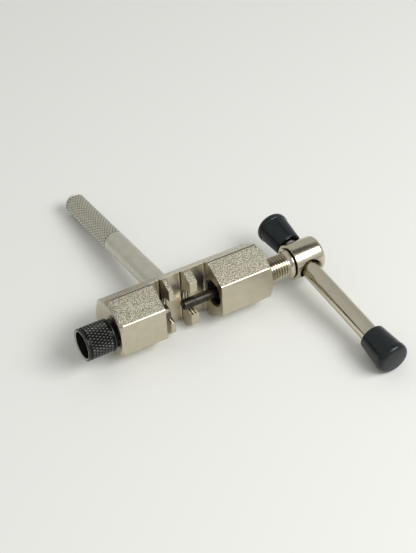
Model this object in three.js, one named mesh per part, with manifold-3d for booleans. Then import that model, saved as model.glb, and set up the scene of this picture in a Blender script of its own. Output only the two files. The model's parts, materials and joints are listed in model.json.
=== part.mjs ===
// Bicycle chain tool. A hexagonal bar holds a notched cradle for the chain, a press screw with a
// sliding tommy bar drives a pin into the cradle from the right, a hollow support screw with a
// knurled knob backs the chain up from the left, and a rod handle stands out to the rear.
// Lengths are in millimetres, angles in degrees. In the tool's own frame X runs along the press
// screw, Y along the handle to the rear and Z up through the upper corner of the hexagon.
import * as THREE from "three";
import { mergeVertices, toCreasedNormals } from "three/addons/utils/BufferGeometryUtils.js";
import Module from "manifold-3d";

const wasm = await Module();
wasm.setup();

// Hexagonal body, from left to right along X
const acrossFlats = 18;
const frontFlatCut = 0.5;
const leftBlockLength = 15.8;
const leftGap = 3.85;
const leftWall = 1.6;
const middleGap = 5.85;
const rightWall = 2.7;
const rightGap = 6.2;
const rightBlockLength = 19.1;
const handleFromLeftEnd = 24.1;
const endFaceInset = 0.4;
const endChamferLength = 1.3;

// Screw line, and the chain cradle milled around it
const threadDiameter = 8;
const threadClearance = 0.15;
const boreChamfer = 0.5;
const screwAxisForward = 2.7;
const notchClearance = 0.25;
const wallAheadOfAxis = 1.3;
const floorBehindNotch = 0.55;
const cradleCornerRadius = 0.6;

// Fits between pieces, and how far a cutting shape runs past what it cuts
const slipFit = 0.1;
const seatGap = 0.1;
const cutOverrun = 1;

// Handle rod
const handleDiameter = 7.6;
const handleReach = 72.5;
const handleTipRounding = 1.4;
const handleSpigotDiameter = 6;
const handleSocketFloor = 2.1;

// Press screw and its barrel head
const exposedThread = 6.8;
const noseInsetInBore = 4.5;
const noseLength = 2.9;
const noseChamfer = 0.7;
const shoulderStep = 0.2;
const collarStep = 1.0;
const collarLength = 2.55;
const collarEdge = 0.3;
const neckDepth = 1.4;
const neckLength = 0.4;
const headDiameter = 12;
const headLength = 11.2;
const headEdge = 0.35;
const headEndRounding = 1.4;
const crossHoleInset = 4.47;
const crossHoleClearance = 0.85;
const crossHoleChamfer = 0.45;

// Drive pin and the cap that holds it on the nose
const pinDiameter = 3.4;
const pinTipToLeftWall = 3.4;
const pinTipChamfer = 0.4;
const pinFlangeStep = 0.6;
const pinFlangeLength = 1.2;
const pinCapWall = 0.7;
const pinCapEndWall = 1.2;
const pinCapChamfer = 0.4;

// Tommy bar and its end caps
const barDiameter = 6;
const barLength = 66.2;
const barEndChamfer = 0.5;
const barRestGap = 0.1;
const barRestAngle = Math.PI / 6;
const rearCapToHead = 1.0;
const barCapLength = 12.1;
const barCapEndWall = 2.1;
const barCapMouthWall = 1.45;
const barCapWaistWall = 2.25;
const barCapBeadWall = 2.5;
const barCapBeadLength = 3.0;
const barCapCrown = 0.4;
const barCapMouthEdge = 0.4;

// Support screw and its knob
const supportTipToWall = 0.25;
const supportNoseStep = 1.6;
const supportNoseLength = 3.6;
const supportBoreClearance = 0.2;
const supportBoreDepth = 12;
const supportTenonStep = 1.2;
const knobDiameter = 10.7;
const knobLength = 9.7;
const knobToBody = 1.1;
const knobChamfer = 0.5;
const knobRim = 1.5;
const knobRecessDepth = 3.2;
const knobWeb = 1.8;

// Facets of round pieces, and the sharpest bend that still looks round
const fineSides = 64;
const wideSides = 48;
const narrowSides = 36;
const roundingSteps = 5;
const creaseAngle = Math.PI / 6;

// Places along X: the body
const bodyLeft = -handleFromLeftEnd;
const cradleLeft = bodyLeft + leftBlockLength;
const leftWallStart = cradleLeft + leftGap;
const leftWallEnd = leftWallStart + leftWall;
const rightWallStart = leftWallEnd + middleGap;
const rightWallEnd = rightWallStart + rightWall;
const cradleRight = rightWallEnd + rightGap;
const bodyRight = cradleRight + rightBlockLength;

// Places along X: the press screw, its pin and the support screw
const noseStart = cradleRight + noseInsetInBore;
const noseEnd = noseStart + noseLength;
const threadEnd = bodyRight + exposedThread;
const collarEnd = threadEnd + collarLength;
const headStart = collarEnd + neckLength;
const headEnd = headStart + headLength;
const crossHole = headStart + crossHoleInset;
const pinTip = leftWallEnd + pinTipToLeftWall;
const pinBack = noseStart - seatGap;
const pinFlange = pinBack - pinFlangeLength;
const pinCapBack = noseEnd - seatGap;
const pinCapFloor = pinFlange - seatGap;
const pinCapFront = pinCapFloor - pinCapEndWall;
const supportTip = leftWallStart - supportTipToWall;
const supportNoseEnd = supportTip - supportNoseLength;
const knobRight = bodyLeft - knobToBody;
const knobLeft = knobRight - knobLength;
const knobFloor = knobLeft + knobRecessDepth;
const knobHoleEnd = knobFloor + knobWeb;

// Radii
const screwRadius = threadDiameter / 2;
const boreRadius = screwRadius + threadClearance;
const notchRadius = screwRadius + notchClearance;
const handleRadius = handleDiameter / 2;
const spigotRadius = handleSpigotDiameter / 2;
const collarRadius = screwRadius + collarStep;
const headRadius = headDiameter / 2;
const pinRadius = pinDiameter / 2;
const pinFlangeRadius = pinRadius + pinFlangeStep;
const noseRadius = pinFlangeRadius + slipFit;
const pinCapBore = noseRadius + slipFit;
const barRadius = barDiameter / 2;
const capMouthRadius = barRadius + barCapMouthWall;
const capWaistRadius = barRadius + barCapWaistWall;
const beadRadius = barRadius + barCapBeadWall;
const tenonRadius = screwRadius - supportTenonStep;
const knobRadius = knobDiameter / 2;

// Depths behind the hexagon's centre
const flatDepth = acrossFlats / 2;
const cornerRadius = flatDepth / Math.cos(Math.PI / 6);
const bodyCut = cornerRadius + cutOverrun;
const wallFront = -screwAxisForward - wallAheadOfAxis;
const cradleFloor = notchRadius + floorBehindNotch - screwAxisForward;
const socketBottom = cradleFloor + handleSocketFloor;

// Places along the tommy bar, counted from the screw axis to the rear
const barCapBore = barCapLength - barCapEndWall;
const rearCapMouth = headRadius + rearCapToHead;
const barRearEnd = rearCapMouth + barCapBore - seatGap;
const barFrontEnd = barRearEnd - barLength;
const frontCapMouth = barFrontEnd + barCapBore - seatGap;
const beadTouch = barCapLength - barCapCrown - barCapBeadLength / 2;
const frontBeadReach = beadTouch - frontCapMouth;

// The loose bar rests against the lower, outer side of its hole.
const barRestOffset = crossHoleClearance - barRestGap;
const barShift = barRestOffset * Math.cos(barRestAngle);
const barDrop = barRestOffset * Math.sin(barRestAngle);

// The tool lies on the body's lower corner, the handle's tip and the front cap's bead.
const handleTouch = handleReach - handleTipRounding;
const bodyTilt = Math.atan((cornerRadius - handleRadius) / handleTouch);
const axisHeight = cornerRadius * Math.cos(bodyTilt) + screwAxisForward * Math.sin(bodyTilt);
const beadBelowAxis = barDrop + beadRadius;
const beadDistance = Math.hypot(frontBeadReach, beadBelowAxis);
const barSlope = Math.asin(axisHeight / beadDistance) - Math.atan2(beadBelowAxis, frontBeadReach);
const barTilt = barSlope + bodyTilt;

// Finishes
const satinNickel = { color: 0xbeb69e, roughness: 0.38, metalness: 1 };
const brightNickel = { color: 0xb8b096, roughness: 0.22, metalness: 1 };
const dullNickel = { color: 0xa8a696, roughness: 0.5, metalness: 1 };
const blackSteel = { color: 0x32322f, roughness: 0.45, metalness: 0.8 };
const brownSteel = { color: 0x3a3734, roughness: 0.35, metalness: 0.9 };
const blackPlastic = { color: 0x2c3033, roughness: 0.4, metalness: 0 };

// A closed solid from a three.js geometry, and the way back.
function solidOf(geometry) {
  const plain = geometry.clone();
  plain.deleteAttribute("normal");
  plain.deleteAttribute("uv");
  const merged = mergeVertices(plain);
  return new wasm.Manifold(
    new wasm.Mesh({
      numProp: 3,
      vertProperties: new Float32Array(merged.attributes.position.array),
      triVerts: new Uint32Array(merged.index.array),
    }),
  );
}

function geometryOf(solid) {
  const { vertProperties, triVerts } = solid.getMesh();
  const geometry = new THREE.BufferGeometry();
  geometry.setAttribute("position", new THREE.BufferAttribute(vertProperties, 3));
  geometry.setIndex(new THREE.BufferAttribute(triVerts, 1));
  return geometry;
}

function cutAll(solid, tools) {
  return tools.reduce((left, tool) => left.subtract(tool), solid);
}

function piece(name, geometry, look) {
  const shaded = toCreasedNormals(geometry, creaseAngle);
  const mesh = new THREE.Mesh(shaded, new THREE.MeshStandardMaterial(look));
  mesh.name = name;
  return mesh;
}

// A turned shape about Y. The profile lists [place along the axis, radius], from low to high.
function turnedY(profile, sides) {
  const points = profile.map(([place, radius]) => new THREE.Vector2(radius, place));
  return new THREE.LatheGeometry(points, sides);
}

// The same shape turned about X.
function turnedX(profile, sides) {
  return turnedY(profile, sides).rotateZ(-Math.PI / 2);
}

// An outline drawn in Y and Z, extruded along X from one place to another.
function barAlongX(outline, start, end) {
  const bar = new THREE.ExtrudeGeometry(outline, {
    depth: end - start,
    bevelEnabled: false,
    curveSegments: narrowSides / 2,
  });
  const turn = new THREE.Matrix4().makeBasis(
    new THREE.Vector3(0, 1, 0),
    new THREE.Vector3(0, 0, 1),
    new THREE.Vector3(1, 0, 0),
  );
  return solidOf(bar.applyMatrix4(turn).translate(start, 0, 0));
}

// Profile points of a quarter round, from the side of a turned piece to its upper end face.
function roundedEnd(end, radius, rounding) {
  return Array.from({ length: roundingSteps + 1 }, (_, step) => {
    const angle = (step / roundingSteps) * (Math.PI / 2);
    return [
      end - rounding + rounding * Math.sin(angle),
      radius - rounding + rounding * Math.cos(angle),
    ];
  });
}

// The raw bar: a hexagon along X with one corner up.
function hexagonalBar() {
  const outline = new THREE.Shape();
  for (let corner = 0; corner < 6; corner++) {
    const angle = (corner * Math.PI) / 3;
    const along = cornerRadius * Math.sin(angle);
    const up = cornerRadius * Math.cos(angle);
    if (corner === 0) outline.moveTo(along, up);
    else outline.lineTo(along, up);
  }
  outline.closePath();
  return barAlongX(outline, bodyLeft, bodyRight);
}

// The turned blank that gives both ends their conical chamfer.
function chamferedBlank() {
  const faceRadius = flatDepth - endFaceInset;
  const profile = [
    [bodyLeft, 0],
    [bodyLeft, faceRadius],
    [bodyLeft + endChamferLength, cornerRadius],
    [bodyLeft + endChamferLength, bodyCut],
    [bodyRight - endChamferLength, bodyCut],
    [bodyRight - endChamferLength, cornerRadius],
    [bodyRight, faceRadius],
    [bodyRight, 0],
  ];
  return solidOf(turnedX(profile, fineSides));
}

// Everything in front of a depth behind the hexagon's centre, between two places along X.
function frontCut(start, end, depth) {
  const outline = new THREE.Shape();
  outline.moveTo(start, -bodyCut);
  outline.lineTo(end, -bodyCut);
  outline.lineTo(end, depth);
  outline.lineTo(start, depth);
  outline.closePath();
  return uprightCut(outline);
}

// A slot of the cradle, with the cutter's rounding where its walls meet the floor.
function cradleSlot(start, end) {
  const inner = cradleFloor - cradleCornerRadius;
  const left = start + cradleCornerRadius;
  const right = end - cradleCornerRadius;
  const outline = new THREE.Shape();
  outline.moveTo(start, -bodyCut);
  outline.lineTo(end, -bodyCut);
  outline.lineTo(end, inner);
  outline.absarc(right, inner, cradleCornerRadius, 0, Math.PI / 2, false);
  outline.lineTo(left, cradleFloor);
  outline.absarc(left, inner, cradleCornerRadius, Math.PI / 2, Math.PI, false);
  outline.closePath();
  return uprightCut(outline);
}

function uprightCut(outline) {
  const cut = new THREE.ExtrudeGeometry(outline, {
    depth: 2 * bodyCut,
    bevelEnabled: false,
    curveSegments: roundingSteps,
  });
  return solidOf(cut.translate(0, 0, -bodyCut));
}

// The seat of the chain's roller: a round-bottomed notch through both walls, open to the front.
function rollerNotch() {
  const outline = new THREE.Shape();
  outline.moveTo(-bodyCut, -notchRadius);
  outline.lineTo(-screwAxisForward, -notchRadius);
  outline.absarc(-screwAxisForward, 0, notchRadius, -Math.PI / 2, Math.PI / 2, false);
  outline.lineTo(-bodyCut, notchRadius);
  outline.closePath();
  return barAlongX(outline, leftWallStart - cutOverrun, rightWallEnd + cutOverrun);
}

// A threaded bore with a countersink at both mouths.
function threadedBore(start, end) {
  const mouth = boreRadius + boreChamfer;
  const profile = [
    [start - cutOverrun, 0],
    [start - cutOverrun, mouth],
    [start, mouth],
    [start + boreChamfer, boreRadius],
    [end - boreChamfer, boreRadius],
    [end, mouth],
    [end + cutOverrun, mouth],
    [end + cutOverrun, 0],
  ];
  return solidOf(turnedX(profile, wideSides).translate(0, -screwAxisForward, 0));
}

function handleSocket() {
  const radius = spigotRadius + slipFit;
  const profile = [
    [socketBottom, 0],
    [socketBottom, radius],
    [flatDepth + cutOverrun, radius],
    [flatDepth + cutOverrun, 0],
  ];
  return solidOf(turnedY(profile, narrowSides));
}

function toolBody() {
  const body = cutAll(hexagonalBar().intersect(chamferedBlank()), [
    frontCut(bodyLeft - cutOverrun, bodyRight + cutOverrun, frontFlatCut - flatDepth),
    frontCut(cradleLeft, cradleRight, wallFront),
    cradleSlot(cradleLeft, leftWallStart),
    cradleSlot(leftWallEnd, rightWallStart),
    cradleSlot(rightWallEnd, cradleRight),
    rollerNotch(),
    threadedBore(bodyLeft, cradleLeft),
    threadedBore(cradleRight, bodyRight),
    handleSocket(),
  ]);
  return piece("tool_body", geometryOf(body), satinNickel);
}

function handleRod() {
  const profile = [
    [socketBottom + seatGap, 0],
    [socketBottom + seatGap, spigotRadius],
    [flatDepth + seatGap, spigotRadius],
    [flatDepth + seatGap, handleRadius],
    ...roundedEnd(handleReach, handleRadius, handleTipRounding),
    [handleReach, 0],
  ];
  return piece("handle_rod", turnedY(profile, wideSides), dullNickel);
}

// The hole for the tommy bar, with a countersink on both sides of the barrel.
function barHole() {
  const radius = barRadius + crossHoleClearance;
  const mouth = radius + crossHoleChamfer;
  const inner = headRadius - crossHoleChamfer;
  const outer = headRadius + cutOverrun;
  const profile = [
    [-outer, 0],
    [-outer, mouth],
    [-headRadius, mouth],
    [-inner, radius],
    [inner, radius],
    [headRadius, mouth],
    [outer, mouth],
    [outer, 0],
  ];
  return solidOf(turnedY(profile, wideSides).translate(crossHole, 0, 0));
}

function pressScrew() {
  const neck = collarRadius - neckDepth;
  const profile = [
    [noseStart, 0],
    [noseStart, noseRadius],
    [noseEnd, noseRadius],
    [noseEnd, screwRadius - noseChamfer],
    [noseEnd + noseChamfer, screwRadius],
    [threadEnd, screwRadius],
    [threadEnd, screwRadius + shoulderStep],
    [collarEnd - collarEdge, collarRadius],
    [collarEnd, collarRadius - collarEdge],
    [collarEnd, neck],
    [headStart, neck],
    [headStart, headRadius - headEdge],
    [headStart + headEdge, headRadius],
    ...roundedEnd(headEnd, headRadius, headEndRounding),
    [headEnd, 0],
  ];
  const screw = solidOf(turnedX(profile, wideSides)).subtract(barHole());
  return piece("press_screw", geometryOf(screw), brightNickel);
}

// The cap screwed on the nose, which traps the drive pin's flange.
function pinCap() {
  const outer = pinCapBore + pinCapWall;
  const hole = pinRadius + slipFit;
  const profile = [
    [pinCapFloor, hole],
    [pinCapFront, hole],
    [pinCapFront, outer - pinCapChamfer],
    [pinCapFront + pinCapChamfer, outer],
    [pinCapBack, outer],
    [pinCapBack, pinCapBore],
    [pinCapFloor, pinCapBore],
    [pinCapFloor, hole],
  ];
  return piece("pin_cap", turnedX(profile, narrowSides), blackSteel);
}

function drivePin() {
  const profile = [
    [pinTip, 0],
    [pinTip, pinRadius - pinTipChamfer],
    [pinTip + pinTipChamfer, pinRadius],
    [pinFlange, pinRadius],
    [pinFlange, pinFlangeRadius],
    [pinBack, pinFlangeRadius],
    [pinBack, 0],
  ];
  return piece("drive_pin", turnedX(profile, narrowSides), brownSteel);
}

function tommyBar() {
  const edge = barRadius - barEndChamfer;
  const profile = [
    [barFrontEnd, 0],
    [barFrontEnd, edge],
    [barFrontEnd + barEndChamfer, barRadius],
    [barRearEnd - barEndChamfer, barRadius],
    [barRearEnd, edge],
    [barRearEnd, 0],
  ];
  return piece("tommy_bar", turnedY(profile, narrowSides), brightNickel);
}

// A push-on cap, drawn with its mouth at zero and its closed, beaded end up.
function barCap(name) {
  const bore = barRadius + slipFit;
  const beadStart = barCapLength - barCapBeadLength;
  const beadStep = beadRadius - capWaistRadius;
  const profile = [
    [barCapBore, 0],
    [barCapBore, bore],
    [0, bore],
    [0, capMouthRadius - barCapMouthEdge],
    [barCapMouthEdge, capMouthRadius],
    [beadStart, capWaistRadius],
    [beadStart + beadStep, beadRadius],
    ...roundedEnd(barCapLength - barCapCrown, beadRadius, barCapBeadLength / 2),
    [barCapLength, 0],
  ];
  return piece(name, turnedY(profile, wideSides), blackPlastic);
}

function supportScrew() {
  const nose = screwRadius - supportNoseStep;
  const bore = pinRadius + supportBoreClearance;
  const boreEnd = supportTip - supportBoreDepth;
  const profile = [
    [knobHoleEnd + seatGap, 0],
    [knobHoleEnd + seatGap, tenonRadius],
    [knobRight + seatGap, tenonRadius],
    [knobRight + seatGap, screwRadius],
    [supportNoseEnd - noseChamfer, screwRadius],
    [supportNoseEnd, nose],
    [supportTip, nose],
    [supportTip, bore],
    [boreEnd, bore],
    [boreEnd, 0],
  ];
  return piece("support_screw", turnedX(profile, wideSides), blackSteel);
}

function supportKnob() {
  const recess = knobRadius - knobRim;
  const hole = tenonRadius + slipFit;
  const profile = [
    [knobFloor, 0],
    [knobFloor, recess],
    [knobLeft, recess],
    [knobLeft, knobRadius - knobChamfer],
    [knobLeft + knobChamfer, knobRadius],
    [knobRight - knobChamfer, knobRadius],
    [knobRight, knobRadius - knobChamfer],
    [knobRight, hole],
    [knobHoleEnd, hole],
    [knobHoleEnd, 0],
  ];
  return piece("support_knob", turnedX(profile, fineSides), blackSteel);
}

// The press screw with its bar, turned so that the bar slopes down to the front.
function pressAssembly() {
  const rearCap = barCap("bar_cap_rear");
  rearCap.position.y = rearCapMouth;
  const frontCap = barCap("bar_cap_front");
  frontCap.rotation.z = Math.PI;
  frontCap.position.y = frontCapMouth;
  const bar = new THREE.Group();
  bar.position.set(crossHole + barShift, 0, -barDrop);
  bar.add(tommyBar(), rearCap, frontCap);
  const press = new THREE.Group();
  press.position.y = -screwAxisForward;
  press.rotation.x = barTilt;
  press.add(pressScrew(), pinCap(), drivePin(), bar);
  return press;
}

function supportAssembly() {
  const support = new THREE.Group();
  support.position.y = -screwAxisForward;
  support.add(supportScrew(), supportKnob());
  return support;
}

const tool = new THREE.Group();
tool.rotation.x = -bodyTilt;
tool.add(toolBody(), handleRod(), pressAssembly(), supportAssembly());

// The part's origin is the middle of its box, at the height of the surface that it lies on.
const part = new THREE.Group();
part.add(tool);
part.updateMatrixWorld(true);
const box = new THREE.Box3().setFromObject(part, true);
const middle = box.getCenter(new THREE.Vector3());
tool.position.set(-middle.x, -middle.y, -box.min.z);

export default part;
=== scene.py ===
"""Bicycle chain tool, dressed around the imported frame.

Sizes are in millimetres, in the tool's own frame: X along the press screw, Y along the handle to the
rear, Z up through the hexagon's upper corner. Every mesh is turned into metres in the shared frame.
"""
import json
import math

import bmesh
import bpy
from mathutils import Matrix, Vector


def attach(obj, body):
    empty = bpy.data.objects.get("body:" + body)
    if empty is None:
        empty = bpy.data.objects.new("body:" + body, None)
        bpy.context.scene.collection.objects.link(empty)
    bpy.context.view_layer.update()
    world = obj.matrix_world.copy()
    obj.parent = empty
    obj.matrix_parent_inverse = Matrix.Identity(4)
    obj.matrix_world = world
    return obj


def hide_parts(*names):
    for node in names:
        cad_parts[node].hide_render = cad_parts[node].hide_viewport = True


MM = 0.001

# Body, along X
ACROSS_FLATS = 18.0
FLAT_DEPTH = ACROSS_FLATS / 2
FRONT_DEPTH = 8.5
BODY_LEFT = -24.1
CRADLE_LEFT = -8.3
CRADLE_RIGHT = 11.9
BODY_RIGHT = 31.0
RAW_EDGE = 0.75
CUT_EDGE = 0.11
CUT_EDGE_SHADING = 0.2
HEXAGON_SIDES = 6
HALF_SIDE_ANGLE = math.pi / HEXAGON_SIDES

# How a face of the body is told to be a drawn flat, the upper corner's line or a bore's wall; the corner's line
# gets a painted dark reflection and a bore's wall painted shade
FLAT_TOLERANCE = 0.03
FLAT_NORMAL = 0.999
TOP_CORNER_NORMAL = 0.96
TOP_CORNER_HEIGHT = 9.6
END_FACE_NORMAL = 0.98

# Place of each finish in the body's list
CUT_FACE = 0
DRAWN_FLAT = 1
# Painted shade in the bores and a painted dark reflection along the upper corner
PAINTED_SHADE_PLACE = 2

# Threads, with the ends of a ridge's crest and of the root beside it as shares of the pitch
PITCH = 1.0
CREST_END = 0.14
ROOT_START = 0.5
ROOT_END = 0.62
SCREW_RADIUS = 4.0
ROOT_RADIUS = 3.42
BORE_GROOVE = 4.5
BORE_CUTTER_ROOT = 3.9
BORE_MOUTH = 4.7
NOTCH_GROOVE = 4.32
CUTTER_OVERRUN = 1.5
SCREW_FORWARD = 2.7
NOSE_CHAMFER = 0.7
THREAD_RUNOUT = 0.5
SEAT_GAP = 0.1

# Handle rod, along Y
HANDLE_START = 9.1
HANDLE_SPIGOT = 3.0
SPIGOT_START = 4.3
HANDLE_RADIUS = 3.8
HANDLE_REACH = 72.5
HANDLE_ROUNDING = 1.4
HANDLE_KNURL_START = 41.6
HANDLE_KNURL_END = 70.9
HANDLE_KNURL_POINTS = 20
HANDLE_KNURL_STEP = 1.7
HANDLE_KNURL_DEPTH = 0.2

# Press screw, with its flares as pairs of place and radius
NOSE_START = 16.4
NOSE_END = 19.3
NOSE_RADIUS = 2.4
THREAD_END = 38.9
SHOULDER_RADIUS = 4.15
COLLAR_FLARE = ((39.25, 4.2), (39.65, 4.42), (39.95, 4.7), (40.15, 5.0))
COLLAR_END = 40.35
COLLAR_RADIUS = 5.0
NECK_RADIUS = 3.6
# Painted shade covers the neck and the head's start face out to this radius
NECK_SHADE_RADIUS = 5.2
HEAD_START = 40.85
HEAD_RADIUS = 6.0
HEAD_END = 51.95
HEAD_EDGE = 0.12
HEAD_ROUNDING = 1.4
CROSS_HOLE = 45.75
CROSS_HOLE_DROP = 0.15
CROSS_HOLE_FLARE = ((0, 3.3), (3.7, 3.3), (4.5, 3.42), (5.2, 3.68), (6.0, 4.1), (7.5, 5.1))

# Drive pin and its cap
PIN_TIP = 0.55
PIN_RADIUS = 1.7
PIN_CHAMFER = 0.4
FLANGE_START = 15.1
FLANGE_RADIUS = 2.3
PIN_CAP_FRONT = 13.8
PIN_CAP_FLOOR = 15.0
PIN_CAP_BACK = 19.2
PIN_CAP_RADIUS = 3.2
PIN_CAP_BORE = 2.5
PIN_CAP_CHAMFER = 0.4
SLIP_FIT = 0.1

# Tommy bar and caps, counted from the screw axis to the rear
BAR_RADIUS = 3.0
BAR_REAR = 16.9
BAR_FRONT = -49.3
BAR_CHAMFER = 0.5
BAR_PLACE = 45.87
BAR_DROP = 0.375
REAR_CAP_MOUTH = 7.0
FRONT_CAP_MOUTH = -39.4
CAP_LENGTH = 12.1
CAP_BORE_DEPTH = 10.0
CAP_BORE = 3.1
CAP_MOUTH = 4.45
CAP_WAIST = 5.32
CAP_BEAD = 5.5
CAP_BEAD_LENGTH = 3.0
CAP_CROWN = 0.4
CAP_MOUTH_EDGE = 0.4
CAP_MOUTH_BORE = 3.6
CAP_MOUTH_DEPTH = 1.4
CAP_BEAD_FILLET = 0.12

# Support screw and knob
STUD_TIP = -4.7
STUD_NOSE_END = -8.3
STUD_NOSE_RADIUS = 2.4
STUD_BORE = 1.9
STUD_BORE_DEPTH = 12.0
STUD_TIP_EDGE = 0.31
STUD_TIP_ROUNDING = 0.3
STUD_BORE_ROUNDING = 0.15
KNOB_RIGHT = -25.2
KNOB_LEFT = -34.9
KNOB_RADIUS = 5.35
KNOB_CHAMFER = 0.5
KNOB_RIM = 0.95
KNOB_RIM_FILLET = 0.25
KNOB_RIM_HIGHLIGHT = 0.3
KNOB_RECESS = 3.2
KNOB_RECESS_FILLET = 0.3
KNOB_WEB = 1.8
TENON_RADIUS = 2.8
KNOB_KNURL_MARGIN = 0.75
KNOB_KNURL_POINTS = 32
KNOB_KNURL_STEP = 2.04
KNOB_KNURL_DEPTH = 0.4

# Painted light on the skin: painted shade in grooves and thread roots, a painted highlight on a knurl's crests and
# the knob's rim, neither elsewhere
GROOVE = 0.0
PLAIN = 0.5
CREST = 1.0

# Facets, and the bends and the distance that shading and joining go by
TURNED_SIDES = 96
FINE_SIDES = 144
ARC_STEPS = 5
SHARP_ANGLE = math.radians(28)
FLAT_ANGLE = math.radians(0.5)
WELD_DISTANCE = 0.001

# Photograph's camera, in metres: where it stands, what it looks at, and its focal length in pixels
CAMERA_PLACE = (-0.161355, -0.278627, 0.280330)
CAMERA_AIM = (0.012933, 0.006694, 0.0)
FOCAL_PIXELS = 1300.0
IMAGE_HEIGHT = 553.0
SENSOR = 36.0

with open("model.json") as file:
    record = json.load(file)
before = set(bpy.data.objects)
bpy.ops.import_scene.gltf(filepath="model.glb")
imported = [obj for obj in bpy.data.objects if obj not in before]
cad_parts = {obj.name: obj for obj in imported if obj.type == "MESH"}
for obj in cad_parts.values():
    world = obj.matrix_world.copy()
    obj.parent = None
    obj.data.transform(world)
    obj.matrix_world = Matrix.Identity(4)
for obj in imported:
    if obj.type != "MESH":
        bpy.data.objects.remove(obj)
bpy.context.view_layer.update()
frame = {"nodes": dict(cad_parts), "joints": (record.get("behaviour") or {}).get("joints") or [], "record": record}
joints = {joint["name"]: joint for joint in frame["joints"]}
mounts = {mount["name"]: mount for mount in frame["record"]["mounts"]}


def frame_matrix(origin, y_axis):
    """Millimetres in a frame whose X is the shared frame's X, as metres in the shared frame."""
    x_axis = Vector((1, 0, 0))
    y_axis = y_axis.normalized()
    z_axis = x_axis.cross(y_axis)
    turn = Matrix((x_axis, y_axis, z_axis)).transposed().to_4x4()
    return Matrix.Translation(origin) @ turn @ Matrix.Scale(MM, 4)


axis_point = Vector(joints["screw_turn"]["pos_m"])
tool_y = -Vector(mounts["front_flat_right"]["axis"])
bar_y = Vector(joints["bar_slide"]["axis"])
support_frame = frame_matrix(axis_point, tool_y)
press_frame = frame_matrix(axis_point, bar_y)
tool_frame = support_frame @ Matrix.Translation((0, SCREW_FORWARD, 0))
along_y = Matrix.Rotation(math.pi / 2, 4, "Z")


# Meshes

class Skin:
    """The closed skin of a piece that is turned about X, gathered ring by ring."""

    def __init__(self, sides):
        self.sides = sides
        self.points = []
        self.painted_light = []
        self.faces = []
        self.last = None

    def point(self, place, radius, side, painted_light=PLAIN):
        angle = 2 * math.pi * side / self.sides
        self.points.append((place, radius * math.cos(angle), radius * math.sin(angle)))
        self.painted_light.append(painted_light)
        return len(self.points) - 1

    def ring(self, place, radius, painted_light=PLAIN):
        if radius == 0:
            return [self.point(place, 0, 0, painted_light)] * self.sides
        return [self.point(place, radius, side, painted_light) for side in range(self.sides)]

    def face(self, corners):
        kept = [corner for index, corner in enumerate(corners) if corner != corners[index - 1]]
        if len(kept) > 2:
            self.faces.append(kept)

    def join(self, first, second):
        for side in range(self.sides):
            after = (side + 1) % self.sides
            self.face([first[side], first[after], second[after], second[side]])

    def turn(self, profile, painted_light=PLAIN):
        """Adds rings at the profile's (place, radius) points."""
        for place, radius in profile:
            ring = self.ring(place, radius, painted_light)
            if self.last:
                self.join(self.last, ring)
            self.last = ring

    def close(self):
        """Joins the last ring to the first one, for a piece with a hole through it."""
        self.join(self.last, list(range(self.sides)))

    def thread(self, start, end, root, crest, start_radius, end_radius, runout):
        """A right-hand thread that grows out of one ring and dies in another."""
        # The root rows carry painted shade, the crest rows neither shade nor highlight
        rows = [
            (0, crest, PLAIN),
            (CREST_END, crest, PLAIN),
            (ROOT_START, root, GROOVE),
            (ROOT_END, root, GROOVE),
        ]
        first = self.ring(start, start_radius)
        last = self.ring(end, end_radius)
        if self.last:
            self.join(self.last, first)
        made = {}

        def corner(row, side):
            if side == self.sides:
                row, side = row + len(rows), 0
            turns, step = divmod(row, len(rows))
            share, radius, painted_light = rows[step]
            place = PITCH * (turns + share + side / self.sides)
            if place <= start:
                return first[side]
            if place >= end:
                return last[side]
            if (row, side) not in made:
                radius = min(radius, start_radius + place - start)
                rise = (end - place) / runout
                radius = max(radius, end_radius - rise * abs(end_radius - root))
                made[row, side] = self.point(place, radius, side, painted_light)
            return made[row, side]

        low = (math.floor(start / PITCH) - 2) * len(rows)
        high = (math.ceil(end / PITCH) + 1) * len(rows)
        for row in range(low, high):
            for side in range(self.sides):
                self.face([
                    corner(row, side), corner(row, side + 1),
                    corner(row + 1, side + 1), corner(row + 1, side),
                ])
        self.last = last

    def knurl(self, start, end, radius, depth, step):
        """A diamond knurl: rows of points between two crossing sets of grooves."""
        count = round((end - start) / step * 2)
        rings = []
        for row in range(count + 1):
            place = start + (end - start) * row / count
            edge = row in (0, count)
            ring = []
            for side in range(self.sides):
                # Low points get painted shade, crests a painted highlight
                low = edge or (row + side) % 2
                ring.append(self.point(place, radius - depth * low, side, GROOVE if low else CREST))
            rings.append(ring)
        self.join(self.last, rings[0])
        for row in range(count):
            low, high = rings[row], rings[row + 1]
            for side in range(self.sides):
                after = (side + 1) % self.sides
                if (row + side) % 2:
                    self.face([low[side], low[after], high[after]])
                    self.face([low[side], high[after], high[side]])
                else:
                    self.face([low[side], low[after], high[side]])
                    self.face([low[after], high[after], high[side]])
        self.last = rings[-1]


def rounded(corners):
    """A profile of (place, radius, fillet) corners, with an arc at each corner that has a fillet."""
    points = []
    for index, (place, radius, fillet) in enumerate(corners):
        if not fillet:
            points.append((place, radius))
            continue
        here = Vector((place, radius))
        before = (Vector(corners[index - 1][:2]) - here).normalized()
        after = (Vector(corners[index + 1][:2]) - here).normalized()
        half = before.angle(after) / 2
        centre = here + (before + after).normalized() * fillet / math.sin(half)
        start = here + before * fillet / math.tan(half) - centre
        end = here + after * fillet / math.tan(half) - centre
        sweep = math.pi - 2 * half
        for step in range(ARC_STEPS + 1):
            share = step / ARC_STEPS
            arm = start * math.sin((1 - share) * sweep) + end * math.sin(share * sweep)
            points.append(tuple(centre + arm / math.sin(sweep)))
    return points


def rework(mesh, change):
    """Runs a change on the mesh's points, edges and faces."""
    work = bmesh.new()
    work.from_mesh(mesh)
    change(work)
    work.to_mesh(mesh)
    work.free()


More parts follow.
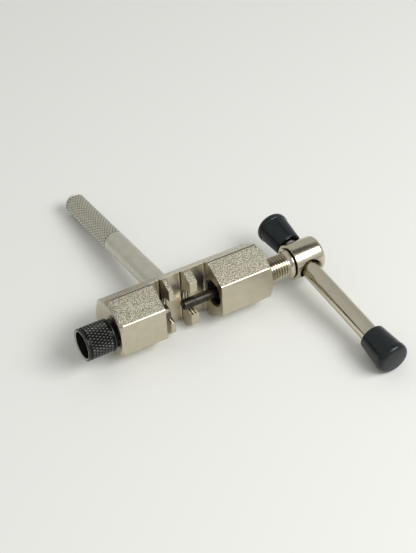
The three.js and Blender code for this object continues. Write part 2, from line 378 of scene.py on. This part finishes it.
def face_outwards(mesh):
    rework(mesh, lambda work: bmesh.ops.recalc_face_normals(work, faces=work.faces))


def new_object(name, data):
    made = bpy.data.objects.new(name, data)
    bpy.context.scene.collection.objects.link(made)
    return made


def finish_mesh(name, mesh, matrix):
    """An object from a mesh in millimetres, placed by the matrix and smooth up to a sharp bend."""
    face_outwards(mesh)
    mesh.transform(matrix)
    mesh.shade_smooth()
    mesh.set_sharp_from_angle(angle=SHARP_ANGLE)
    return new_object(name, mesh)


def mesh_of(name, skin):
    mesh = bpy.data.meshes.new(name)
    mesh.from_pydata(skin.points, [], skin.faces)
    painted_light = mesh.attributes.new("painted_light", "FLOAT", "POINT")
    painted_light.data.foreach_set("value", skin.painted_light)
    return mesh


def combine(mesh, cutter_mesh, operation):
    """The first mesh without the space of the second, or only the space that both share."""
    face_outwards(mesh)
    face_outwards(cutter_mesh)
    target = new_object("cut_target", mesh)
    cutter = new_object("cut_tool", cutter_mesh)
    modifier = target.modifiers.new("cut", "BOOLEAN")
    modifier.operation = operation
    modifier.solver = "MANIFOLD"
    modifier.object = cutter
    graph = bpy.context.evaluated_depsgraph_get()
    result = bpy.data.meshes.new_from_object(target.evaluated_get(graph))
    bpy.data.objects.remove(target)
    bpy.data.objects.remove(cutter)
    return result


# Materials

NOISE_RANGE = (0.3, 0.7)
NOISE_DETAIL = 3.0
PIT_DETAIL = 1.0
PLAIN_SPECULAR = 0.5
CREST_HIGHLIGHT_RANGE = (0.6, 1.0)
EDGE_SAMPLES = 6


def node(tree, kind, **values):
    made = tree.nodes.new(kind)
    for name, value in values.items():
        setattr(made, name, value)
    return made


def noise(tree, coordinates, size, stretch=(1, 1, 1), detail=NOISE_DETAIL):
    """Noise whose grains are about that many millimetres across, drawn out where stretch is below one."""
    mapping = node(tree, "ShaderNodeMapping")
    scale = 1 / (size * MM)
    mapping.inputs["Scale"].default_value = [scale * share for share in stretch]
    texture = node(tree, "ShaderNodeTexNoise")
    texture.inputs["Scale"].default_value = 1.0
    texture.inputs["Detail"].default_value = detail
    tree.links.new(coordinates, mapping.inputs["Vector"])
    tree.links.new(mapping.outputs["Vector"], texture.inputs["Vector"])
    return texture.outputs["Fac"]


def spread(tree, value, low, high, source=NOISE_RANGE):
    """A value between two source levels, spread to another range."""
    made = node(tree, "ShaderNodeMapRange")
    made.inputs["From Min"].default_value = source[0]
    made.inputs["From Max"].default_value = source[1]
    made.inputs["To Min"].default_value = low
    made.inputs["To Max"].default_value = high
    tree.links.new(value, made.inputs["Value"])
    return made.outputs["Result"]


def blend_colours(tree, value, dark, light):
    made = node(tree, "ShaderNodeMix", data_type="RGBA")
    made.inputs[6].default_value = (*dark, 1)
    made.inputs[7].default_value = (*light, 1)
    tree.links.new(value, made.inputs[0])
    return made.outputs[2]


def tint(tree, value, colour, other):
    """A colour that turns into another one where the value is high."""
    made = node(tree, "ShaderNodeMix", data_type="RGBA")
    made.inputs[7].default_value = (*other, 1)
    tree.links.new(value, made.inputs[0])
    tree.links.new(colour, made.inputs[6])
    return made.outputs[2]


def bump(tree, height, distance, under):
    """The normal of a grain that stands that many millimetres high on the surface under it."""
    made = node(tree, "ShaderNodeBump")
    made.inputs["Distance"].default_value = distance * MM
    made.inputs["Strength"].default_value = 1.0
    tree.links.new(height, made.inputs["Height"])
    if under:
        tree.links.new(under, made.inputs["Normal"])
    return made.outputs["Normal"]


def surface(name, look):
    """A finish with patchy colour and roughness and a fine grain, as the look's values say."""
    material = bpy.data.materials.new(name)
    material.use_nodes = True
    tree = material.node_tree
    shader = tree.nodes["Principled BSDF"]
    shader.inputs["Metallic"].default_value = look["metallic"]
    shader.inputs["Specular IOR Level"].default_value = look.get("specular", PLAIN_SPECULAR)
    coordinates = node(tree, "ShaderNodeTexCoord").outputs["Object"]
    patches = noise(tree, coordinates, look["patch"], detail=look.get("patch_detail", NOISE_DETAIL))
    share = spread(tree, patches, 0, 1, source=look.get("patch_source", NOISE_RANGE))
    colour = blend_colours(tree, share, look["dark"], look["light"])
    # Painted shade where the skin's attribute is low (knurl grooves, thread roots), a painted highlight where it
    # is high (knurl crests, the knob's rim)
    if "crest" in look:
        painted_light = node(tree, "ShaderNodeAttribute", attribute_name="painted_light").outputs["Fac"]
        colour = tint(tree, spread(tree, painted_light, 1, 0, source=(GROOVE, PLAIN)), colour, look["groove"])
        colour = tint(tree, spread(tree, painted_light, 0, 1, source=CREST_HIGHLIGHT_RANGE), colour, look["crest"])
    tree.links.new(colour, shader.inputs["Base Color"])
    grain = noise(tree, coordinates, look["grain"], look.get("stretch", (1, 1, 1)))
    rough = spread(tree, grain, *look["roughness"])
    tree.links.new(rough, shader.inputs["Roughness"])
    normal = None
    if "edge" in look:
        rounding = node(tree, "ShaderNodeBevel", samples=EDGE_SAMPLES)
        rounding.inputs["Radius"].default_value = look["edge"] * MM
        normal = rounding.outputs["Normal"]
    normal = bump(tree, grain, look["grain_height"], normal)
    if "pits" in look:
        pits = noise(tree, coordinates, look["pits"], detail=PIT_DETAIL)
        normal = bump(tree, pits, look["pit_height"], normal)
    tree.links.new(normal, shader.inputs["Normal"])
    return material


LOOKS = {
    "milled_nickel": {
        "metallic": 1.0, "dark": (0.545, 0.498, 0.385), "light": (0.605, 0.555, 0.436), "patch": 3.0,
        "grain": 0.25, "grain_height": 0.006, "roughness": (0.26, 0.4), "edge": CUT_EDGE_SHADING,
    },
    "drawn_nickel": {
        "metallic": 1.0, "dark": (0.125, 0.115, 0.085), "light": (0.84, 0.795, 0.625), "patch": 0.23,
        "patch_detail": 1.0, "patch_source": (0.39, 0.59),
        "grain": 0.3, "grain_height": 0.02, "roughness": (0.28, 0.38), "pits": 0.3, "pit_height": 0.08,
    },
    "dull_nickel": {
        "metallic": 1.0, "dark": (0.64, 0.62, 0.535), "light": (0.71, 0.69, 0.6), "patch": 2.5,
        "grain": 0.2, "grain_height": 0.008, "roughness": (0.44, 0.56),
        # groove is a painted shade colour for the knurl's grooves, crest a painted highlight colour for its crests
        "groove": (0.34, 0.33, 0.275), "crest": (0.95, 0.93, 0.83),
    },
    "bright_nickel": {
        "metallic": 1.0, "dark": (0.60, 0.55, 0.43), "light": (0.66, 0.61, 0.49), "patch": 4.0,
        "grain": 0.3, "grain_height": 0.003, "roughness": (0.16, 0.26),
        # groove is a painted shade colour for the thread's roots
        "groove": (0.38, 0.345, 0.27), "crest": (0.66, 0.61, 0.49),
    },
    "bar_nickel": {
        "metallic": 1.0, "dark": (0.60, 0.56, 0.44), "light": (0.65, 0.61, 0.49), "patch": 4.0,
        "grain": 0.3, "grain_height": 0.002, "roughness": (0.12, 0.19), "stretch": (1, 0.15, 1),
    },
    "black_steel": {
        "metallic": 0.85, "dark": (0.035, 0.035, 0.033), "light": (0.075, 0.075, 0.07), "patch": 0.8,
        "grain": 0.15, "grain_height": 0.006, "roughness": (0.26, 0.4),
        # groove is a painted shade colour, crest a painted highlight colour, for the knob's knurl and rim
        "groove": (0.014, 0.014, 0.013), "crest": (0.5, 0.5, 0.47),
    },
    # Painted shade for the bores, the screw's neck and the body's upper corner, and the lighter, painted lit side
    # of the stud's nose
    "painted_shade_and_lit_steel": {
        "metallic": 1.0, "dark": (0.07, 0.062, 0.05), "light": (0.17, 0.155, 0.125), "patch": 0.8,
        "grain": 0.2, "grain_height": 0.006, "roughness": (0.3, 0.45),
    },
    "brown_steel": {
        "metallic": 0.9, "dark": (0.026, 0.023, 0.019), "light": (0.075, 0.066, 0.054), "patch": 0.9,
        "grain": 0.3, "grain_height": 0.012, "roughness": (0.32, 0.46),
    },
    "black_plastic": {
        "metallic": 0.0, "dark": (0.007, 0.0105, 0.012), "light": (0.011, 0.0155, 0.0175), "patch": 3.0,
        "specular": 0.33,
        "grain": 0.25, "grain_height": 0.003, "roughness": (0.2, 0.28),
    },
}
surfaces = {name: surface(name, look) for name, look in LOOKS.items()}


def dress(made, body, node_name, slot, *names):
    """Gives a piece its finishes and the body it rides on, in place of one of the frame's nodes."""
    made.data.materials.clear()
    for name in names:
        made.data.materials.append(surfaces[name])
    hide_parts(node_name)
    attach(made, body)


# Body

def rounded_hexagon():
    """A long bar with the body's section and rounded corners, to take the sharp corners off the body."""
    corner = FLAT_DEPTH / math.cos(HALF_SIDE_ANGLE)
    side_corner = corner / 2
    front_corner = corner - FRONT_DEPTH * math.tan(HALF_SIDE_ANGLE)
    outline = [
        (0, corner), (FLAT_DEPTH, side_corner), (FLAT_DEPTH, -side_corner),
        (0, -corner), (-FRONT_DEPTH, -front_corner), (-FRONT_DEPTH, front_corner),
    ]
    corners = [(*outline[-1], 0), *[(y, z, RAW_EDGE) for y, z in outline], (*outline[0], 0)]
    ring = rounded(corners)[1:-1]
    ends = (BODY_LEFT - CUTTER_OVERRUN, BODY_RIGHT + CUTTER_OVERRUN)
    points = [(place, y, z) for place in ends for y, z in ring]
    count = len(ring)
    after = [(index + 1) % count for index in range(count)]
    sides = [(index, after[index], count + after[index], count + index) for index in range(count)]
    mesh = bpy.data.meshes.new("rounded_hexagon")
    mesh.from_pydata(points, [], [*sides, list(range(count)), list(range(count, 2 * count))])
    return mesh


def finish_index(face, centre):
    """The finish of one of the body's faces: painted shade in the threaded bores and a painted dark reflection
    line along the upper corner.
    """
    if face.normal.z > TOP_CORNER_NORMAL and centre.z > TOP_CORNER_HEIGHT and centre.y < 0:
        return PAINTED_SHADE_PLACE
    from_axis = math.hypot(centre.y + SCREW_FORWARD, centre.z)
    in_cradle = CRADLE_LEFT < centre.x < CRADLE_RIGHT
    surface_radius = NOTCH_GROOVE if in_cradle else 0
    if surface_radius < from_axis < BORE_MOUTH and abs(face.normal.x) < END_FACE_NORMAL:
        return PAINTED_SHADE_PLACE
    for flat in range(HEXAGON_SIDES):
        angle = HALF_SIDE_ANGLE * (1 + 2 * flat)
        normal = Vector((0, math.sin(angle), math.cos(angle)))
        near = abs(centre.dot(normal) - FLAT_DEPTH) < FLAT_TOLERANCE
        if near and face.normal.dot(normal) > FLAT_NORMAL:
            return DRAWN_FLAT
    return CUT_FACE


def body_mesh():
    mesh = frame["nodes"]["tool_body"].data.copy()
    mesh.transform(tool_frame.inverted())
    mesh.materials.clear()
    rework(mesh, lambda work: bmesh.ops.remove_doubles(work, verts=work.verts, dist=WELD_DISTANCE))
    return combine(mesh, rounded_hexagon(), "INTERSECT")


def thread_cutter():
    skin = Skin(TURNED_SIDES)
    start, end = BODY_LEFT - CUTTER_OVERRUN, BODY_RIGHT + CUTTER_OVERRUN
    skin.turn([(start, 0)])
    skin.thread(start, end, BORE_CUTTER_ROOT, BORE_GROOVE, BORE_CUTTER_ROOT, BORE_CUTTER_ROOT, PITCH)
    skin.turn([(end, 0)])
    mesh = mesh_of("thread_cutter", skin)
    mesh.transform(Matrix.Translation((0, -SCREW_FORWARD, 0)))
    return mesh


def join_flat_facets(work):
    bmesh.ops.dissolve_limit(work, angle_limit=FLAT_ANGLE, verts=work.verts, edges=work.edges)


def make_body():
    mesh = combine(body_mesh(), thread_cutter(), "DIFFERENCE")
    rework(mesh, join_flat_facets)
    made = finish_mesh("hex_body", mesh, Matrix.Identity(4))
    indices = [finish_index(face, Vector(face.center)) for face in mesh.polygons]
    mesh.transform(tool_frame)
    dress(made, "frame", "tool_body", "satin_nickel", "milled_nickel", "drawn_nickel", "painted_shade_and_lit_steel")
    mesh.polygons.foreach_set("material_index", indices)
    level = made.modifiers.new("level", "WEIGHTED_NORMAL")
    level.keep_sharp = True


# Turned pieces

def make_handle():
    skin = Skin(2 * HANDLE_KNURL_POINTS)
    skin.turn([(SPIGOT_START, 0)])
    skin.turn(rounded([
        (SPIGOT_START, HANDLE_SPIGOT, 0),
        (HANDLE_START, HANDLE_SPIGOT, 0),
        (HANDLE_START, HANDLE_RADIUS, CUT_EDGE),
        (HANDLE_KNURL_START, HANDLE_RADIUS, 0),
    ]))
    skin.knurl(
        HANDLE_KNURL_START + HANDLE_KNURL_DEPTH, HANDLE_KNURL_END, HANDLE_RADIUS, HANDLE_KNURL_DEPTH,
        HANDLE_KNURL_STEP,
    )
    tip = HANDLE_REACH - HANDLE_ROUNDING
    skin.turn(rounded([
        (tip, HANDLE_RADIUS, 0),
        (HANDLE_REACH, HANDLE_RADIUS, HANDLE_ROUNDING),
        (HANDLE_REACH, 0, 0),
    ])[1:])
    made = finish_mesh("handle", mesh_of("handle", skin), tool_frame @ along_y)
    dress(made, "frame", "handle_rod", "dull_nickel", "dull_nickel")


def hole_cutter():
    skin = Skin(TURNED_SIDES)
    front = [(-place, radius) for place, radius in reversed(CROSS_HOLE_FLARE)]
    rear = list(CROSS_HOLE_FLARE[1:])
    skin.turn([(front[0][0], 0), *front, *rear, (rear[-1][0], 0)])
    mesh = mesh_of("hole_cutter", skin)
    mesh.transform(Matrix.Translation((CROSS_HOLE, 0, -CROSS_HOLE_DROP)) @ along_y)
    return mesh


def in_neck(centre):
    """Whether a face of the press screw lies in the groove between collar and head, which gets painted shade."""
    from_axis = math.hypot(centre.y, centre.z)
    return COLLAR_END - SLIP_FIT < centre.x < HEAD_START + SLIP_FIT and from_axis < NECK_SHADE_RADIUS


def make_press_screw():
    skin = Skin(FINE_SIDES)
    skin.turn([(NOSE_START, 0), (NOSE_START, NOSE_RADIUS), (NOSE_END, NOSE_RADIUS)])
    skin.thread(
        NOSE_END, THREAD_END, ROOT_RADIUS, SCREW_RADIUS, ROOT_RADIUS - SLIP_FIT, SCREW_RADIUS,
        THREAD_RUNOUT,
    )
    barrel_end = HEAD_END - HEAD_ROUNDING
    skin.turn([(THREAD_END, SHOULDER_RADIUS), *COLLAR_FLARE])
    skin.turn(rounded([
        (COLLAR_END, COLLAR_RADIUS, 0),
        (COLLAR_END, NECK_RADIUS, 0),
        (HEAD_START, NECK_RADIUS, 0),
        (HEAD_START, NECK_SHADE_RADIUS, 0),
        (HEAD_START, HEAD_RADIUS, HEAD_EDGE),
        (barrel_end, HEAD_RADIUS, 0),
        (HEAD_END, HEAD_RADIUS, HEAD_ROUNDING),
        (HEAD_END, 0, 0),
    ]))
    mesh = combine(mesh_of("press_screw_turned", skin), hole_cutter(), "DIFFERENCE")
    made = finish_mesh("press_screw_turned", mesh, Matrix.Identity(4))
    indices = [int(in_neck(Vector(face.center))) for face in mesh.polygons]
    mesh.transform(press_frame)
    dress(made, "turning_screw", "press_screw", "bright_nickel", "bright_nickel", "painted_shade_and_lit_steel")
    mesh.polygons.foreach_set("material_index", indices)


def make_pin_cap():
    skin = Skin(TURNED_SIDES)
    hole = PIN_RADIUS + SLIP_FIT
    skin.turn(rounded([
        (PIN_CAP_FLOOR, hole, 0),
        (PIN_CAP_FRONT, hole, 0),
        (PIN_CAP_FRONT, PIN_CAP_RADIUS, PIN_CAP_CHAMFER),
        (PIN_CAP_BACK, PIN_CAP_RADIUS, 0),
        (PIN_CAP_BACK, PIN_CAP_BORE, 0),
        (PIN_CAP_FLOOR, PIN_CAP_BORE, 0),
    ]))
    skin.close()
    made = finish_mesh("nose_cap", mesh_of("nose_cap", skin), press_frame)
    dress(made, "turning_screw", "pin_cap", "black_steel", "black_steel")


def make_pin():
    skin = Skin(TURNED_SIDES)
    skin.turn([(PIN_TIP, 0)])
    skin.turn(rounded([
        (PIN_TIP, PIN_RADIUS - PIN_CHAMFER, CUT_EDGE),
        (PIN_TIP + PIN_CHAMFER, PIN_RADIUS, CUT_EDGE),
        (FLANGE_START, PIN_RADIUS, 0),
        (FLANGE_START, FLANGE_RADIUS, 0),
        (NOSE_START - SEAT_GAP, FLANGE_RADIUS, 0),
        (NOSE_START - SEAT_GAP, 0, 0),
    ]))
    made = finish_mesh("rivet_pin", mesh_of("rivet_pin", skin), press_frame)
    dress(made, "pin_carriage", "drive_pin", "brown_steel", "brown_steel")


bar_frame = press_frame @ Matrix.Translation((BAR_PLACE, 0, -BAR_DROP))


def make_bar():
    skin = Skin(TURNED_SIDES)
    edge = BAR_RADIUS - BAR_CHAMFER
    skin.turn([
        (BAR_FRONT, 0), (BAR_FRONT, edge), (BAR_FRONT + BAR_CHAMFER, BAR_RADIUS),
        (BAR_REAR - BAR_CHAMFER, BAR_RADIUS), (BAR_REAR, edge), (BAR_REAR, 0),
    ])
    made = finish_mesh("slide_bar", mesh_of("slide_bar", skin), bar_frame @ along_y)
    dress(made, "sliding_bar", "tommy_bar", "bright_nickel", "bar_nickel")


def make_cap(name, node_name, placing):
    skin = Skin(TURNED_SIDES)
    bead = CAP_LENGTH - CAP_BEAD_LENGTH
    skin.turn([
        (CAP_BORE_DEPTH, 0), (CAP_BORE_DEPTH, CAP_BORE), (CAP_MOUTH_DEPTH, CAP_BORE),
        (CAP_MOUTH_DEPTH, CAP_MOUTH_BORE),
    ])
    skin.turn(rounded([
        (0, CAP_MOUTH_BORE, CAP_BEAD_FILLET),
        (0, CAP_MOUTH, CAP_MOUTH_EDGE),
        (bead, CAP_WAIST, CAP_BEAD_FILLET),
        (bead + CAP_BEAD - CAP_WAIST, CAP_BEAD, CAP_BEAD_FILLET),
        (CAP_LENGTH - CAP_CROWN, CAP_BEAD, CAP_BEAD_LENGTH / 2),
        (CAP_LENGTH - CAP_CROWN, CAP_BEAD - CAP_BEAD_LENGTH / 2, 0),
        (CAP_LENGTH, 0, 0),
    ]))
    made = finish_mesh(name, mesh_of(name, skin), bar_frame @ placing @ along_y)
    dress(made, "sliding_bar", node_name, "black_plastic", "black_plastic")


def make_stud():
    skin = Skin(TURNED_SIDES)
    tenon_end = KNOB_LEFT + KNOB_RECESS + KNOB_WEB + SEAT_GAP
    skin.turn([(tenon_end, 0), (tenon_end, TENON_RADIUS), (KNOB_RIGHT + SEAT_GAP, TENON_RADIUS)])
    skin.thread(
        KNOB_RIGHT + SEAT_GAP, STUD_NOSE_END, ROOT_RADIUS, SCREW_RADIUS, ROOT_RADIUS,
        ROOT_RADIUS - SLIP_FIT, NOSE_CHAMFER,
    )
    skin.turn(rounded([
        (STUD_NOSE_END, STUD_NOSE_RADIUS, 0),
        (STUD_TIP, STUD_NOSE_RADIUS, STUD_TIP_ROUNDING),
        (STUD_TIP, STUD_BORE, STUD_BORE_ROUNDING),
        (STUD_TIP - STUD_BORE_DEPTH, STUD_BORE, 0),
        (STUD_TIP - STUD_BORE_DEPTH, 0, 0),
    ]))
    mesh = mesh_of("stud", skin)
    made = finish_mesh("stud", mesh, Matrix.Identity(4))
    # The nose's side gets a lighter finish, a painted lit side, and the darker rim left at the tip is a painted
    # dark ring
    nose = (STUD_NOSE_END, STUD_TIP - STUD_TIP_EDGE)
    indices = [int(nose[0] < face.center.x < nose[1]) for face in mesh.polygons]
    mesh.transform(support_frame)
    dress(made, "support_stud", "support_screw", "black_steel", "brown_steel", "painted_shade_and_lit_steel")
    mesh.polygons.foreach_set("material_index", indices)


def make_knob():
    skin = Skin(2 * KNOB_KNURL_POINTS)
    floor = KNOB_LEFT + KNOB_RECESS
    recess = KNOB_RADIUS - KNOB_RIM
    hole = TENON_RADIUS + SLIP_FIT
    knurl_left = KNOB_LEFT + KNOB_KNURL_MARGIN
    knurl_right = KNOB_RIGHT - KNOB_KNURL_MARGIN
    left_end = rounded([
        (floor, 0, 0),
        (floor, recess, KNOB_RECESS_FILLET),
        (KNOB_LEFT + 2 * KNOB_RIM_FILLET, recess, 0),
        (KNOB_LEFT, recess, KNOB_RIM_FILLET),
        (KNOB_LEFT, KNOB_RADIUS, KNOB_CHAMFER),
        (knurl_left - KNOB_KNURL_DEPTH / 2, KNOB_RADIUS, 0),
    ])
    # Points at the rim's inner edge get a painted highlight
    for place, radius in left_end:
        on_rim = max(place - KNOB_LEFT, radius - recess) < KNOB_RIM_HIGHLIGHT
        skin.turn([(place, radius)], CREST if on_rim else PLAIN)
    skin.knurl(knurl_left, knurl_right, KNOB_RADIUS, KNOB_KNURL_DEPTH, KNOB_KNURL_STEP)
    skin.turn(rounded([
        (knurl_right + KNOB_KNURL_DEPTH / 2, KNOB_RADIUS, 0),
        (KNOB_RIGHT, KNOB_RADIUS, KNOB_CHAMFER),
        (KNOB_RIGHT, hole, 0),
        (floor + KNOB_WEB, hole, 0),
        (floor + KNOB_WEB, 0, 0),
    ]))
    made = finish_mesh("knob", mesh_of("knob", skin), support_frame)
    dress(made, "turning_knob", "support_knob", "black_steel", "black_steel")


make_body()
make_handle()
make_press_screw()
make_pin_cap()
make_pin()
make_bar()
make_cap("end_cap_rear", "bar_cap_rear", Matrix.Translation((0, REAR_CAP_MOUTH, 0)))
make_cap(
    "end_cap_front", "bar_cap_front",
    Matrix.Translation((0, FRONT_CAP_MOUTH, 0)) @ Matrix.Rotation(math.pi, 4, "Z"),
)
make_stud()
make_knob()


# Floor, light and camera

FLOOR_SIZE = 4.0
FLOOR_COLOUR = (0.825, 0.83, 0.797, 1)
FLOOR_ROUGHNESS = 0.9
FLOOR_SPECULAR = 0.1

# The room's light: its levels, and the ranges of direction over which each level sets in
ROOM_COLOUR = (1, 1, 0.975, 1)
REAR_RIGHT = (0.85, 0.52, 0)
REAR_RIGHT_RANGE = (-0.2, 0.7)
WALL_LEVEL = 0.585
REAR_RIGHT_LEVEL = 0.53
DARK_PATCH = (0.42, 0.03, 0.9)
DARK_PATCH_RANGE = (0.925, 0.975)
DARK_PATCH_LEVEL = 0.08
HORIZON_HEIGHT_RANGE = (0.1, 0.2)
HORIZON_SIDE_RANGE = (-0.3, 0)
HORIZON_LEVEL = 0.03
BACKDROP_LEVEL = 0.78

# The lamp that stands for a window, in metres and watts
WINDOW_AIM = (0.0, 0.0, 0.01)
WINDOW_DISTANCE = 0.8
WINDOW_DIRECTION = (0.38, -0.6, 0.7)
WINDOW_WIDTH = 0.62
WINDOW_HEIGHT = 0.32
WINDOW_POWER = 4.7


def make_floor():
    half = FLOOR_SIZE / 2
    mesh = bpy.data.meshes.new("floor")
    corners = [(-half, -half, 0), (half, -half, 0), (half, half, 0), (-half, half, 0)]
    mesh.from_pydata(corners, [], [(0, 1, 2, 3)])
    made = new_object("floor", mesh)
    material = bpy.data.materials.new("floor")
    material.use_nodes = True
    shader = material.node_tree.nodes["Principled BSDF"]
    shader.inputs["Base Color"].default_value = FLOOR_COLOUR
    shader.inputs["Roughness"].default_value = FLOOR_ROUGHNESS
    shader.inputs["Specular IOR Level"].default_value = FLOOR_SPECULAR
    mesh.materials.append(material)


def make_window():
    lamp = bpy.data.lights.new("window", "AREA")
    lamp.shape = "RECTANGLE"
    lamp.size = WINDOW_WIDTH
    lamp.size_y = WINDOW_HEIGHT
    lamp.energy = WINDOW_POWER
    made = new_object("window", lamp)
    direction = Vector(WINDOW_DIRECTION).normalized()
    made.location = Vector(WINDOW_AIM) + direction * WINDOW_DISTANCE
    made.rotation_euler = direction.to_track_quat("Z", "Y").to_euler()


def towards(tree, direction, heading):
    """How nearly a direction points along a heading: one where it does."""
    made = node(tree, "ShaderNodeVectorMath", operation="DOT_PRODUCT")
    made.inputs[1].default_value = Vector(heading).normalized()
    tree.links.new(direction, made.inputs[0])
    return made.outputs["Value"]


def product(tree, first, second):
    made = node(tree, "ShaderNodeMath", operation="MULTIPLY")
    tree.links.new(first, made.inputs[0])
    tree.links.new(second, made.inputs[1])
    return made.outputs["Value"]


def level_mix(tree, share, first, level):
    """A level that turns into another one where the share is high."""
    made = node(tree, "ShaderNodeMix", data_type="FLOAT")
    made.inputs[3].default_value = level
    tree.links.new(share, made.inputs[0])
    tree.links.new(first, made.inputs[2])
    return made.outputs[0]


def make_world():
    """A room: pale walls, a dark patch overhead and a dark line low on the left."""
    world = bpy.data.worlds.new("room")
    bpy.context.scene.world = world
    world.use_nodes = True
    tree = world.node_tree
    tree.nodes.clear()
    output = node(tree, "ShaderNodeOutputWorld")
    background = node(tree, "ShaderNodeBackground")
    direction = node(tree, "ShaderNodeTexCoord").outputs["Generated"]
    split = node(tree, "ShaderNodeSeparateXYZ")
    tree.links.new(direction, split.inputs[0])
    rear_right = towards(tree, direction, REAR_RIGHT)
    walls = spread(tree, rear_right, WALL_LEVEL, REAR_RIGHT_LEVEL, source=REAR_RIGHT_RANGE)
    overhead = spread(tree, towards(tree, direction, DARK_PATCH), 0, 1, source=DARK_PATCH_RANGE)
    above = level_mix(tree, overhead, walls, DARK_PATCH_LEVEL)
    horizon = product(
        tree,
        spread(tree, split.outputs["Z"], 1, 0, source=HORIZON_HEIGHT_RANGE),
        spread(tree, split.outputs["X"], 1, 0, source=HORIZON_SIDE_RANGE),
    )
    room = level_mix(tree, horizon, above, HORIZON_LEVEL)
    path = node(tree, "ShaderNodeLightPath")
    seen = level_mix(tree, path.outputs["Is Camera Ray"], room, BACKDROP_LEVEL)
    tree.links.new(seen, background.inputs["Strength"])
    background.inputs["Color"].default_value = ROOM_COLOUR
    tree.links.new(background.outputs[0], output.inputs[0])


def make_camera():
    lens = bpy.data.cameras.new("camera")
    lens.sensor_width = SENSOR
    lens.lens = SENSOR * FOCAL_PIXELS / IMAGE_HEIGHT
    lens.clip_start = MM
    made = new_object("camera", lens)
    made.location = CAMERA_PLACE
    away = Vector(CAMERA_PLACE) - Vector(CAMERA_AIM)
    made.rotation_euler = away.to_track_quat("Z", "Y").to_euler()
    bpy.context.scene.camera = made


make_floor()
make_window()
make_world()
make_camera()
bpy.context.scene.view_settings.view_transform = "Standard"
